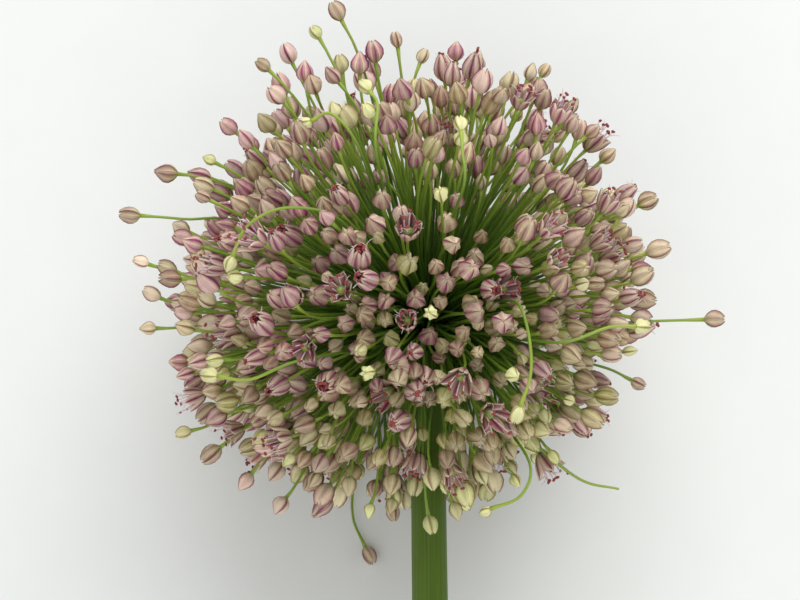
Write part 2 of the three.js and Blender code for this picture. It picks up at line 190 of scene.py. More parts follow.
# Colours as they look, from 0 to 255
STRIPE_MAUVE = (106, 32, 70)
BODY_MAUVE = (158, 92, 116)
LIGHT_MAUVE = (202, 158, 152)
EDGE_MAUVE = (228, 214, 178)
# painted shadow where an outer tepal's edge lies over the inner one
PAINTED_SHADOW_MAUVE = (142, 100, 88)
STRIPE_GREEN = (116, 92, 52)
BODY_GREEN = (150, 146, 78)
LIGHT_GREEN = (190, 188, 110)
EDGE_GREEN = (226, 224, 160)
# painted shadow where an outer tepal's edge lies over the inner one, on olive buds
PAINTED_SHADOW_GREEN = (112, 110, 50)
FLUSH_MAUVE = (148, 76, 104)
FLUSH_GREEN = (176, 172, 104)
CREAM = (232, 234, 172)
PETAL_WHITE = (236, 208, 196)
ANTHER_DARK = (112, 40, 46)
ANTHER_RED = (160, 74, 68)
FILAMENT_PINK = (214, 166, 178)
FILAMENT_WHITE = (240, 222, 226)
OVARY_GREEN = (128, 150, 70)
OVARY_LIGHT = (160, 178, 96)
PEDICEL_GREEN = (98, 138, 36)
PEDICEL_YELLOW = (162, 180, 70)
# dark green of painted shade inside the head
PEDICEL_PAINTED_SHADE = (48, 76, 20)
SCAPE_GREEN = (56, 80, 10)
SCAPE_LIGHT = (82, 108, 16)
# waxy coat and painted highlight, on one side of the scape
SCAPE_BLOOM_HIGHLIGHT = (98, 122, 52)
PITH_DOT = (150, 170, 96)
PITH_GREEN = (196, 208, 150)
PITH_PALE = (214, 222, 176)
FLOOR_WHITE = (226, 228, 226)
FLOOR_LIGHT = (230, 232, 230)


# Layout -----------------------------------------------------------------------------------------


def chance(floret, purpose):
    """The same number from 0 to 1 each time for a floret and a purpose."""
    h = ((floret + 1) * 374761393 + (purpose + 1) * 668265263) & 0xFFFFFFFF
    h = ((h ^ (h >> 13)) * 1274126177) & 0xFFFFFFFF
    return (h ^ (h >> 16)) / 2**32


def unit(vector):
    return vector / np.linalg.norm(vector)


def towards(polar, round_):
    """Unit vector at a polar angle from the crown and an angle round the scape."""
    return np.array([
        math.sin(polar) * math.cos(round_),
        math.cos(polar),
        math.sin(polar) * math.sin(round_),
    ])


def even_spread(n, lowest):
    """n unit vectors spread evenly from the crown down to a polar angle."""
    drop = (1 - math.cos(lowest)) / n
    return [towards(math.acos(1 - drop * (i + 0.5)), i * GOLDEN_ANGLE) for i in range(n)]


def ball_reach(direction):
    """How far the ball's surface is from the receptacle in a direction."""
    d = direction / BALL_RADII
    c = BALL_CENTRE / BALL_RADII
    half = d @ c
    return (half + math.sqrt(half * half - (d @ d) * (c @ c - 1))) / (d @ d)


def on_upper_face(x, y):
    """The point of the ball's upper face over x, y."""
    across = ((x - BALL_CENTRE[0]) / BALL_RADII[0]) ** 2 + ((y - BALL_CENTRE[1]) / BALL_RADII[1]) ** 2
    return np.array([x, y, BALL_RADII[2] * math.sqrt(max(0, 1 - across))])


def in_thin_patch(direction):
    middle = unit(THIN_PATCH["towards"])
    across = (direction[0] - middle[0]) / THIN_PATCH["wide"]
    along = (math.asin(direction[1]) - math.asin(middle[1])) / THIN_PATCH["high"]
    return direction[2] > 0 and across * across + along * along < 1


def in_open_skirt(direction):
    """Low on the ball, and a little higher on its right, the florets hang apart."""
    return direction[1] < -0.34 + 0.3 * direction[0]


def kind_of(i):
    lot = chance(i, 3)
    if lot < 0.15:
        return "small"
    if lot < 0.25:
        return "opening"
    return "open" if lot < 0.32 else "bud"


def placed_floret(point, kind):
    return {"direction": unit(point), "distance": np.linalg.norm(point), "kind": kind, "held": True}


def face_floret(x, y, kind):
    """A floret in its own place on the upper face. The small ones there are pale."""
    return {**placed_floret(on_upper_face(x, y), kind), "pale": kind == "small"}


def spray_floret(direction, i):
    stray = towards(math.pi * chance(i, 0), 2 * math.pi * chance(i, 1)) * SCATTER
    strayed = unit(direction + stray)
    depth = 1 - 0.3 * chance(i, 2) ** 1.7
    return {"direction": strayed, "distance": ball_reach(strayed) * depth, "kind": kind_of(i), "held": False}


def all_florets():
    outline = [placed_floret(np.array([x, y, z]), kind) for x, y, kind, z in OUTLINE_FLORETS]
    face = [face_floret(*row) for row in FACE_FLORETS]
    spray = [spray_floret(d, i) for i, d in enumerate(even_spread(SPRAY_COUNT, LOWEST_POLAR))]
    kept = [
        f for i, f in enumerate(spray)
        if not in_thin_patch(f["direction"]) or chance(i, 4) < THIN_PATCH["kept"]
    ]
    florets = outline + face + kept
    make_room(florets, BUD_GAP)
    return florets


def infill_florets(florets):
    """The florets that fill the head between and under those given, which stay where they are."""
    spread = even_spread(INFILL_COUNT, LOWEST_POLAR)
    more = [spray_floret(direction, INFILL_SEED + i) for i, direction in enumerate(spread)]
    more = [floret for floret in more if not in_thin_patch(floret["direction"])]
    more = [f for i, f in enumerate(more) if not in_open_skirt(f["direction"]) or chance(i, 7) < 0.15]
    for i, floret in enumerate(more):
        floret["distance"] *= 1 - 0.2 * chance(INFILL_SEED + i, 5)
        if floret["kind"] in ("open", "opening") and chance(INFILL_SEED + i, 6) < 0.75:
            floret["kind"] = "bud"
    fixed = [{**floret, "held": True} for floret in florets]
    make_room(fixed + more, INFILL_GAP, INFILL_PASSES)
    return more


def make_room(florets, bud_gap, passes=RELAX_PASSES):
    """Turns the directions apart until buds clear buds and pedicels clear the buds that they pass."""
    directions = np.array([f["direction"] for f in florets])
    distances = np.array([f["distance"] for f in florets])
    free = np.array([[0.0 if f["held"] else 1.0] for f in florets])
    nearer = np.minimum(distances[:, None], distances)
    between = distances[:, None] - distances
    side_by_side = np.sqrt(np.maximum(0, bud_gap**2 - between**2))
    needed = np.maximum(side_by_side, STALK_GAP) / nearer
    np.fill_diagonal(needed, 0)
    for _ in range(passes):
        cosines = np.clip(directions @ directions.T, -1, 1)
        length = np.maximum(np.sqrt(2 - 2 * cosines), 1e-9)
        push = np.maximum(0, needed - length) / length / 2
        moves = directions * push.sum(axis=1, keepdims=True) - push @ directions
        directions = directions + moves * free
        directions /= np.linalg.norm(directions, axis=1, keepdims=True)
    for floret, direction in zip(florets, directions):
        floret["direction"] = direction


def foot_direction(direction):
    """Where on the receptacle a floret of this direction has its foot, as a unit vector."""
    polar = math.acos(direction[1]) * LOWEST_FOOT / LOWEST_POLAR
    return towards(polar, math.atan2(direction[2], direction[0]))


def nearest(direction, choices):
    return int(np.argmin([np.sum((c - direction) ** 2) for c in choices]))


def zone_of(direction):
    polar = math.degrees(math.acos(direction[1]))
    if polar < 24:
        return "crown"
    if polar < 54:
        return "shoulder"
    return "middle" if polar < 88 else "skirt"


def name_cymes():
    """The feet, and the cyme on each: {foot: name}, long florets first."""
    feet = even_spread(FOOT_COUNT, LOWEST_FOOT)
    free = list(range(FOOT_COUNT))
    names = {}
    for name, (route, _) in LONG_FLORETS.items():
        aim = foot_direction(unit(np.array(route[0])))
        names[free.pop(nearest(aim, [feet[i] for i in free]))] = name
    counts = {}
    for foot in free:
        zone = zone_of(feet[foot])
        counts[zone] = counts.get(zone, 0) + 1
        names[foot] = f"{zone}_cyme_{counts[zone]:02d}"
    return feet, free, names


def lifted_clear(point, clear):
    """The point, raised so that what is this far round it stays above the floor."""
    height = RECEPTACLE_HEIGHT + point @ UP
    return point + UP * max(0, clear - height)


def head_to_row(points):
    """Points of the head's frame, in millimetres, in the row frame, in metres."""
    low, high = (np.array(corner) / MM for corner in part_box("scape"))
    cos, sin = math.cos(TILT), math.sin(TILT)
    cut_edge = -SCAPE_LENGTH * cos - CUT_RADIUS * sin
    x, y, z = np.moveaxis(points, -1, 0)
    placed = np.stack([
        x + (low[0] + high[0]) / 2,
        y * cos - z * sin + low[1] - cut_edge,
        y * sin + z * cos + RECEPTACLE_HEIGHT,
    ], axis=-1)
    return placed * MM


# Mesh building ----------------------------------------------------------------------------------


def grid(u, v, closed):
    """Triangles and their texture places for points in rows of v by columns of u. A closed grid's
    last u belongs to its first column."""
    columns = len(u) - 1 if closed else len(u)
    triangles = []
    places = []
    for r in range(len(v) - 1):
        for c in range(len(u) - 1):
            d = (c + 1) % columns
            low, low_next = r * columns + c, r * columns + d
            high, high_next = low + columns, low_next + columns
            triangles += [(low, low_next, high_next), (low, high_next, high)]
            a, b, e, f = (u[c], v[r]), (u[c + 1], v[r]), (u[c + 1], v[r + 1]), (u[c], v[r + 1])
            places += [(a, b, e), (a, e, f)]
    return np.array(triangles), np.array(places, dtype=float)


def fan(ring, tip, u, v_ring, v_tip):
    """Triangles and texture places that close a ring of points on a tip."""
    n = len(ring)
    triangles = [(ring[k], ring[(k + 1) % n], tip) for k in range(n)]
    places = [((u[k], v_ring), (u[k + 1], v_ring), ((u[k] + u[k + 1]) / 2, v_tip)) for k in range(n)]
    return np.array(triangles), np.array(places, dtype=float)


def joined(*shapes):
    """One (points, triangles, places) shape from several."""
    points, triangles, places = [], [], []
    count = 0
    for p, t, w in shapes:
        points.append(p)
        triangles.append(t + count)
        places.append(w)
        count += len(p)
    return np.concatenate(points), np.concatenate(triangles), np.concatenate(places)


def square_to(axis):
    """Two unit vectors square to the axis and to each other."""
    reference = np.array([0.0, 1, 0]) if abs(axis[1]) < 0.9 else np.array([1.0, 0, 0])
    side = unit(np.cross(reference, axis))
    return side, np.cross(axis, side)


def tube(centres, radii, sides):
    """A round tube along a line of points, shut at both ends."""
    tangents = np.gradient(centres, axis=0)
    side, _ = square_to(unit(centres[-1] - centres[0]))
    rings = []
    for centre, tangent, radius in zip(centres, tangents, radii):
        axis = unit(tangent)
        side = unit(side - axis * (side @ axis))
        other = np.cross(axis, side)
        turn = np.arange(sides) * 2 * math.pi / sides
        rings.append(centre + radius * (np.outer(np.cos(turn), side) + np.outer(np.sin(turn), other)))
    u = np.linspace(0, 1, sides + 1)
    v = np.linspace(0, 1, len(centres))
    triangles, places = grid(u, v, closed=True)
    count = len(centres) * sides
    end, end_places = fan(list(range(count - sides, count)), count, u, 1, 1)
    start, start_places = fan(list(range(sides))[::-1], count + 1, u, 0, 0)
    points = np.concatenate([np.concatenate(rings), centres[-1:], centres[:1]])
    return (
        points,
        np.concatenate([triangles, end, start]),
        np.concatenate([places, end_places, start_places]),
    )


def bezier(a, b, c, d, steps):
    """A curve from a to d, drawn towards b and c, with its points closer together near d."""
    t = np.linspace(0, 1, steps + 1)[:, None]
    t = t * (1.6 - 0.6 * t)
    return a * (1 - t) ** 3 + 3 * b * t * (1 - t) ** 2 + 3 * c * t * t * (1 - t) + d * t**3


def spline(points, steps):
    """A smooth line through points, evenly stepped."""
    padded = np.array([2 * points[0] - points[1], *points, 2 * points[-1] - points[-2]])
    out = []
    for k in range(1, len(padded) - 2):
        p0, p1, p2, p3 = padded[k - 1:k + 3]
        for t in np.linspace(0, 1, steps, endpoint=False):
            out.append(0.5 * (
                2 * p1 + (p2 - p0) * t + (2 * p0 - 5 * p1 + 4 * p2 - p3) * t**2
                + (3 * p1 - p0 - 3 * p2 + p3) * t**3
            ))
    return np.array([*out, points[-1]])


class Bundle:
    """Shapes of one piece, each with its tint and material, on their way into one mesh."""

    def __init__(self):
        self.shapes = []

    def add(self, shape, tint, material):
        """tint is greenness, shade, paleness and a lot, each 0 to 1."""
        self.shapes.append((shape, tint, material))

    def piece(self, name, materials):
        points, triangles, places = joined(*[shape for shape, _, _ in self.shapes])
        mesh = bpy.data.meshes.new(name)
        mesh.vertices.add(len(points))
        placed = head_to_row(points)
        placed[:, 2] = np.maximum(placed[:, 2], 0)  # what lies on the floor is pressed flat
        mesh.vertices.foreach_set("co", placed.ravel())
        mesh.loops.add(triangles.size)
        mesh.loops.foreach_set("vertex_index", triangles.ravel())
        mesh.polygons.add(len(triangles))
        mesh.polygons.foreach_set("loop_start", np.arange(0, triangles.size, 3))
        mesh.uv_layers.new(name="UVMap").uv.foreach_set("vector", places.ravel())
        tint = mesh.attributes.new("tint", "FLOAT_COLOR", "POINT")
        tint.data.foreach_set("color", np.concatenate([
            np.tile(t, (len(shape[0]), 1)) for shape, t, _ in self.shapes
        ]).ravel())
        used = list(dict.fromkeys(m for _, _, m in self.shapes))
        mesh.polygons.foreach_set("material_index", np.concatenate([
            np.full(len(shape[1]), used.index(m)) for shape, _, m in self.shapes
        ]))
        for material in used:
            mesh.materials.append(materials[material])
        mesh.update(calc_edges=True)
        mesh.shade_smooth()
        obj = bpy.data.objects.new(name, mesh)
        bpy.context.collection.objects.link(obj)
        return obj


# Floret shapes, in millimetres, with the joint at the origin and the tip towards +Z --------------


def keel_relief(degrees):
    """How far a bud's surface stands out, as a share of its radius, this far round from a keel."""
    off = abs((degrees + 60) % 120 - 60)
    if off <= OUTER_EDGE:
        return 0.13 * math.exp(-((off / 11) ** 2)) - 0.04 * (off / OUTER_EDGE) ** 2
    return -0.09 + 0.06 * math.exp(-(((60 - off) / 10) ** 2))


def bud_columns():
    half = KEEL_ANGLES + [60] + [120 - a for a in KEEL_ANGLES[:0:-1]]
    return [start + a for start in (0, 120, 240) for a in half] + [360]


def bud_shape(profile, lobes, lean, seed):
    """A shut bud of unit length and unit radius. Its six tepals part into lobes towards the tip, which
    leans over to one side, and its skin is a little puckered."""
    degrees = bud_columns()
    columns = len(degrees) - 1
    turn = np.radians(degrees[:-1])
    keels = np.array([keel_relief(a) for a in degrees[:-1]])
    rings = []
    for share, radius in zip(BUD_SHARES, profile):
        fade = min(1, share / 0.2)
        parted = lobes * max(0, (share - LOBES_FROM) / (1 - LOBES_FROM)) ** 1.2
        pucker = PUCKERS[0] * np.sin(2 * turn + 9 * chance(seed, 30) + 4 * share)
        pucker = pucker + PUCKERS[1] * np.sin(5 * turn + 9 * chance(seed, 31) - 7 * share)
        r = radius * (1 + keels * fade + parted * np.cos(6 * turn) + pucker * fade)
        up = share + 0.25 * parted * np.cos(6 * turn)
        rings.append(np.stack([r * np.cos(turn), r * np.sin(turn), up + 0 * turn], axis=1))
    u = np.array(degrees) / 360
    triangles, places = grid(u, BUD_SHARES, closed=True)
    count = columns * len(BUD_SHARES)
    last = BUD_SHARES[-1]
    end, end_places = fan(list(range(count - columns, count)), count, u, last, 1)
    start, start_places = fan(list(range(columns))[::-1], count + 1, u, 0, 0)
    tip = 1.0 - 0.6 * lobes
    points = np.concatenate([*rings, [[0, 0, tip]], [[0, 0, 0.0]]])
    points[:, 0] += lean * points[:, 2] ** 2
    return (
        points,
        np.concatenate([triangles, end, start]),
        np.concatenate([places, end_places, start_places]),
    )


def tepal_shape(round_, mouth, flare, set_in):
    """One tepal of a flower: a thin sheet, keeled and boat-shaped. mouth is the radius that its tip
    reaches, flare how far the tip turns out and set_in how far it sits inside its neighbours."""
    length, radius = KINDS["open"]
    across = np.array(TEPAL_ACROSS)
    rows = []
    for share in TEPAL_SHARES:
        bell = np.interp(share, [0, 0.12, 0.35, 0.6, 1], [0.3, 0.62, 0.92, 1, 1]) * radius
        out = bell + (mouth - radius) * share**2 - set_in
        up = length * (share - flare * share**3)
        wide = np.interp(share, [0, 0.3, 0.55, 0.8, 1], [0.35, 1.0, 1.12, 0.8, 0.12])
        angle = round_ + across * wide / max(out, 0.6)
        keel = out * (1 + 0.06 * (1 - abs(across)) - 0.07 * across**2)
        rows.append(np.stack([
            keel * np.cos(angle),
            keel * np.sin(angle),
            np.full(len(across), up),
        ], axis=1))
    outside = np.array(rows)
    inward = np.stack([-np.cos(round_), -np.sin(round_), 0.35], axis=-1) * TEPAL_SHEET
    inside = outside + inward
    u = 1 / 3 + across * OUTER_EDGE / 360
    front, front_places = grid(u, TEPAL_SHARES, closed=False)
    back, back_places = grid(u, TEPAL_SHARES, closed=False)
    rows_n, cols_n = outside.shape[:2]
    count = rows_n * cols_n
    rim = [r * cols_n for r in range(rows_n)]
    rim += [(rows_n - 1) * cols_n + c for c in range(1, cols_n)]
    rim += [r * cols_n + cols_n - 1 for r in range(rows_n - 2, -1, -1)]
    rim += list(range(cols_n - 2, 0, -1))
    edge = []
    for a, b in zip(rim, rim[1:] + rim[:1]):
        edge += [(a, b, b + count), (a, b + count, a + count)]
    edge_places = np.tile([u[0], 0.5], (len(edge), 3, 1))
    points = np.concatenate([outside.reshape(-1, 3), inside.reshape(-1, 3)])
    return (
        points,
        np.concatenate([front, back[:, ::-1] + count, np.array(edge)]),
        np.concatenate([front_places, back_places[:, ::-1], edge_places]),
    )


def anther_shape(place, axis):
    """A plump two-lobed anther."""
    spread = np.array([-0.42, -0.3, 0, 0.3, 0.42])
    swell = np.array([0.08, 0.22, 0.26, 0.22, 0.08])
    return tube(place + np.outer(spread, axis), swell, 5)


def stamen_parts(k, mouth, stamen_reach, seed):
    """A stamen's filament and anther, and the fine thread that curls out beside it."""
    length = KINDS["open"][0]
    round_ = k * math.pi / 3 + 0.3 * chance(seed, 60 + k)
    lean = mouth * (0.3 + 0.55 * chance(seed, 70 + k))
    outward = np.array([math.cos(round_), math.sin(round_), 0])
    reach = stamen_reach * (0.85 + 0.3 * chance(seed, 80 + k))
    tip = outward * lean + np.array([0, 0, length * reach])
    line = bezier(
        outward * 0.6 + [0, 0, 0.7],
        outward * 0.9 + [0, 0, length * 0.5],
        tip - [0, 0, length * 0.25],
        tip,
        5,
    )
    across = np.array([-math.sin(round_), math.cos(round_), 0.3]) * (1 if k % 2 else -1)
    curl = tip + across * 0.9 + outward * (0.5 + chance(seed, 90 + k))
    curl = curl + [0, 0, 0.5 - 1.4 * chance(seed, 96 + k)]
    thread = bezier(line[3], line[3] + across * 0.5, curl - outward * 0.6, curl, 4)
    return [
        (tube(line, np.linspace(0.16, 0.09, 6), 4), "filament"),
        (anther_shape(tip, unit(across + outward * 0.4)), "anther"),
        (tube(thread, np.linspace(0.08, 0.035, 5), 3), "filament"),
    ]


def ovary_shape():
    """The plump green ovary at the bottom of a flower."""
    middles = np.array([[0, 0, 0.2], [0, 0, 0.6], [0, 0, 1.3], [0, 0, 1.9], [0, 0, 2.3]])
    return tube(middles, np.array([0.4, 0.85, 1.0, 0.7, 0.1]), 8)


def flower_shapes(mouth, flare, stamen_reach, seed):
    """(shape, material) of each part of an open flower."""
    parts = []
    for k in range(6):
        round_ = k * math.pi / 3 + 0.12 * (chance(seed, 40 + k) - 0.5)
        own_mouth = mouth * (0.88 + 0.24 * chance(seed, 50 + k))
        parts.append((tepal_shape(round_, own_mouth, flare, INNER_SET_IN * (k % 2)), "tepal"))
    for k in range(6):
        parts += stamen_parts(k, mouth, stamen_reach, seed)
    return parts + [(ovary_shape(), "ovary")]


# Florets in place -------------------------------------------------------------------------------


def floret_frame(axis, roll):
    """3 by 3 matrix that turns a floret shape's own axes into the head's."""
    side, other = square_to(axis)
    x = math.cos(roll) * side + math.sin(roll) * other
    return np.stack([x, np.cross(axis, x), axis], axis=1)


def put(shape, matrix, place, scale=(1, 1, 1)):
    points, triangles, places = shape
    return (points * np.array(scale)) @ matrix.T + place, triangles, places


def floret_tint(i, kind, direction):
    """Greenness, shade, paleness and a lot for a floret: rosy at the crown, olive at the skirt, and
    darker and less pale on the upper side, as painted shade."""
    polar = math.degrees(math.acos(np.clip(direction[1], -1, 1)))
    green = np.interp(polar, [0, 50, 85, 115, 150], [0.16, 0.2, 0.28, 0.5, 0.66])
    green += 0.14 * direction[0] + 0.7 * (chance(i, 10) - 0.5)
    if chance(i, 11) < 0.13:
        green += 0.35
    # painted shade: florets on the upper side of the head are made darker and less pale
    painted_shade_upper = np.interp(direction[2], [0.3, 0.9], [0, 1])
    shade = 0.42 + 0.6 * chance(i, 12) - 0.22 * painted_shade_upper
    pale = (0.9 - 0.5 * painted_shade_upper) * chance(i, 13) ** 1.5
    if kind == "small":
        green += 0.3
        pale += 0.5 * chance(i, 14)
    if kind in ("open", "opening"):
        green *= 0.3
        pale = 0.1 + 0.4 * chance(i, 14)
    return np.clip([green, shade, pale, chance(i, 15)], 0, 1)


def pedicel_tint(i, direction):
    # random tone, and brighter and yellower towards the crown as painted light from beyond the crown
    bright = 0.35 + 0.5 * chance(i, 16) + 0.15 * direction[1]
    return np.clip([bright, 0.3 + 0.6 * chance(i, 17), 0, chance(i, 18)], 0, 1)


def floret_size(i, kind):
    length, radius = KINDS[kind]
    factor = (1 if kind in ("open", "opening") else BUD_SIZE) + SIZE_SPREAD * (2 * chance(i, 20) - 1)
    slim = 0.97 + 0.08 * (2 * chance(i, 21) - 1)
    return length * factor, radius * factor * slim


def bud_axis(floret, start, middle, i):
    """The way the bud points: off its pedicel's line, and along the floor where it lies on it."""
    radius = KINDS[floret["kind"]][1]
    line = unit(middle - start)
    side, other = square_to(line)
    turn = 2 * math.pi * chance(i, 22)
    lean = NOD * chance(i, 23)
    axis = unit(line + lean * (math.cos(turn) * side + math.sin(turn) * other))
    if RECEPTACLE_HEIGHT + middle @ UP < radius + 2.5 * abs(axis @ UP):
        axis = unit(axis - UP * (axis @ UP))
    return axis


def add_bud(bundle, joint, axis, kind, i, tint):
    """A shut bud, or a flower of six tepals with its stamens."""
    matrix = floret_frame(axis, 2 * math.pi * chance(i, 24))
    length, radius = floret_size(i, kind)
    if kind in ("bud", "small"):
        shape = BUD_SHAPES[int(chance(i, 25) * len(BUD_SHAPES))]
        bundle.add(put(shape, matrix, joint, (radius, radius, length)), tint, "tepal")
        return
    wide = kind == "open"
    mouth = (1.9 + 1.3 * chance(i, 26)) if wide else (0.35 + 0.6 * chance(i, 26))
    flare = 0.2 if wide else 0.02
    reach = (0.95 + 0.2 * chance(i, 27)) if wide else (0.88 + 0.14 * chance(i, 27))
    size = length / KINDS["open"][0]
    for shape, material in flower_shapes(mouth, flare, reach, i):
        bundle.add(put(shape, matrix, joint, (size, size, size)), tint, material)


def pedicel_radii(points):
    """Slender, a little wider at the foot and swelling under the bud."""
    v = np.linspace(0, 1, len(points))
    return np.interp(v, [0, 0.1, 0.4, 0.88, 1], [0.4, 0.27, 0.24, 0.26, 0.42])


def add_floret(stalks, buds, floret, foot, i):
    own = foot_direction(floret["direction"])
    start = unit(foot + (own - foot) * PEDICEL_SPREAD) * (RECEPTACLE_RADIUS - 0.4)
    length, radius = KINDS[floret["kind"]]
    middle = lifted_clear(floret["direction"] * floret["distance"], radius)
    axis = bud_axis(floret, start, middle, i)
    joint = middle - axis * length / 2
    reach = np.linalg.norm(joint - start)
    side, other = square_to(unit(joint - start))
    sway = PEDICEL_SWAY * ((chance(i, 28) - 0.5) * side + (chance(i, 29) - 0.5) * other)
    sway = sway * (1 + 2.5 * chance(i, 19) ** 5)
    line = bezier(
        start,
        start + unit(start) * reach * 0.3 + 2 * sway,
        joint - axis * reach * 0.28 - sway,
        joint + axis * 0.15,
        PEDICEL_STEPS,
    )
    stalks.add(tube(line, pedicel_radii(line), PEDICEL_SIDES), pedicel_tint(i, own), "pedicel")
    tint = floret_tint(i, floret["kind"], floret["direction"])
    if floret.get("pale"):
        tint = np.array([0.95, 0.9, 0.9, chance(i, 15)])
    add_bud(buds, joint, axis, floret["kind"], i, tint)


def add_long_floret(stalks, buds, name, foot, i):
    route, kind = LONG_FLORETS[name]
    clear = KINDS[kind][1] if kind else PEDICEL_RADIUS
    through = [foot * (RECEPTACLE_RADIUS - 0.4)]
    through += [lifted_clear(np.array(p, dtype=float), clear) for p in route]
    line = spline(through, 8)
    radii = pedicel_radii(line) if kind else np.linspace(0.42, 0.22, len(line))
    stalks.add(tube(line, radii, PEDICEL_SIDES), pedicel_tint(i, foot), "pedicel")
    if kind:
        tint = np.array([0.35, 0.5, 0.3, chance(i, 15)])
        add_bud(buds, line[-1], unit(line[-1] - line[-3]), kind, i, tint)


def add_arching_floret(stalks, buds, route, i):
    """A pedicel that leaves the rest and arches over the face of the head, with its small pale bud."""
    line = spline([np.array(p, dtype=float) for p in route], 6)
    own = unit(line[0])
    start = foot_direction(own) * (RECEPTACLE_RADIUS - 0.4)
    inner = bezier(start, start * 2.4, line[0] * 2 - line[1], line[0], 4)
    line = np.concatenate([inner[:-1], line])
    bright = np.array([1.0, 0.8, 0, chance(i, 18)])
    stalks.add(tube(line, pedicel_radii(line) * 1.1, PEDICEL_SIDES), bright, "pedicel")
    tint = np.array([0.9, 0.8, 0.75, chance(i, 15)])
    add_bud(buds, line[-1], unit(line[-1] - line[-2]), "small", i, tint)


def finish_piece(bundle, name, node):
    piece = bundle.piece(name, MATERIALS)
    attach(piece, "root")
    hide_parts(node)


def left_out(floret, i):
    """Some of the florets low on the ball, of those that the CAD model doesn't have, have gone."""
    modelled = floret["held"] or i % MODELLED_EVERY == 0
    return not modelled and in_open_skirt(floret["direction"]) and chance(i, 8) < SKIRT_GONE


def build_umbel():
    feet, free, names = name_cymes()
    stalks = {foot: Bundle() for foot in names}
    buds = {foot: Bundle() for foot in names}
    florets = all_florets()
    for i, floret in enumerate(florets + infill_florets(florets)):
        if left_out(floret, i):
            continue
        own = foot_direction(floret["direction"])
        foot = free[nearest(own, [feet[k] for k in free])]
        add_floret(stalks[foot], buds[foot], floret, feet[foot], i)
    for i, route in enumerate(ARCHING_FLORETS, start=ARCHING_SEED):
        foot = free[nearest(foot_direction(unit(np.array(route[0]))), [feet[k] for k in free])]
        add_arching_floret(stalks[foot], buds[foot], route, i)
    for n, (foot, name) in enumerate(names.items()):
        if name in LONG_FLORETS:
            add_long_floret(stalks[foot], buds[foot], name, feet[foot], LONG_SEED + n)
        finish_piece(stalks[foot], f"{name}_pedicels", name)
        if buds[foot].shapes:
            finish_piece(buds[foot], f"{name}_florets", name)


# Scape ------------------------------------------------------------------------------------------


def scape_profile():
    """Distance along the scape, from the receptacle, and radius, from the cut end to the top."""
    stem = [(-SCAPE_LENGTH + s, np.interp(s, [0, 100], [CUT_RADIUS, SCAPE_RADIUS])) for s in range(0, 97, 4)]
    neck = [(-11.2, 3.35), (-9, 3.75), (-7.4, 4.35), (-5.8, 5.1)]
    dome = [
        (-RECEPTACLE_RADIUS * math.cos(a), RECEPTACLE_RADIUS * math.sin(a))
        for a in np.radians(np.arange(52, 180, 8))
    ]
    return stem + neck + dome


def build_scape():
    """The stem with its swollen top, with the fine ribs that run along it."""
    sides = SCAPE_SIDES
    turn = np.arange(sides) * 2 * math.pi / sides
    profile = scape_profile()
    rings = []
    for along, radius in profile:
        ribs = 0.035 * np.sin(turn * 17 + 0.7) + 0.02 * np.sin(turn * 29) + 0.05 * np.cos(turn * 3 + 1)
        r = radius + ribs - RIB_HEIGHT
        bow = SCAPE_BOW * (min(0, along) / SCAPE_LENGTH) ** 2
        rings.append(np.stack([r * np.cos(turn) + bow, np.full(sides, along), r * np.sin(turn)], axis=1))
    u = np.linspace(0, 1, sides + 1)
    v = np.linspace(0, 1, len(profile))
    triangles, places = grid(u, v, closed=True)
    skin = (np.concatenate(rings), triangles[:, ::-1], places[:, ::-1])
    bundle = Bundle()
    bundle.add(skin, np.array([0.5, 0.5, 0, 0.5]), "scape")
    bundle.add(cut_end(rings[0]), np.array([0.5, 0.5, 0, 0.5]), "pith")
    piece = bundle.piece("scape_skin", MATERIALS)
    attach(piece, "root")
    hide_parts("scape")


def cut_end(rim):
    """The cut face: a little dished, with a soft rim."""
    middle = rim.mean(axis=0)
    shares = [1, 0.97, 0.9, 0.6, 0.3]
    depths = [0, -0.02, 0.06, 0.14, 0.17]
    rings = [middle + (rim - middle) * share + [0, depth, 0] for share, depth in zip(shares, depths)]
    sides = len(rim)
    u = np.linspace(0, 1, sides + 1)
    v = 1 - np.array(shares)
    triangles, places = grid(u, v, closed=True)
    count = sides * len(shares)
    end, end_places = fan(list(range(count - sides, count)), count, u, v[-1], 1)
    points = np.concatenate([*rings, [middle + [0, depths[-1], 0]]])
    return points, np.concatenate([triangles, end]), np.concatenate([places, end_places])


# Materials --------------------------------------------------------------------------------------


def linear(colour):
    """A colour as it looks, 0 to 255, as the linear numbers that nodes take."""
    c = np.array(colour) / 255
    rgb = np.where(c <= 0.04045, c / 12.92, ((c + 0.055) / 1.055) ** 2.4)
    return (*rgb, 1)


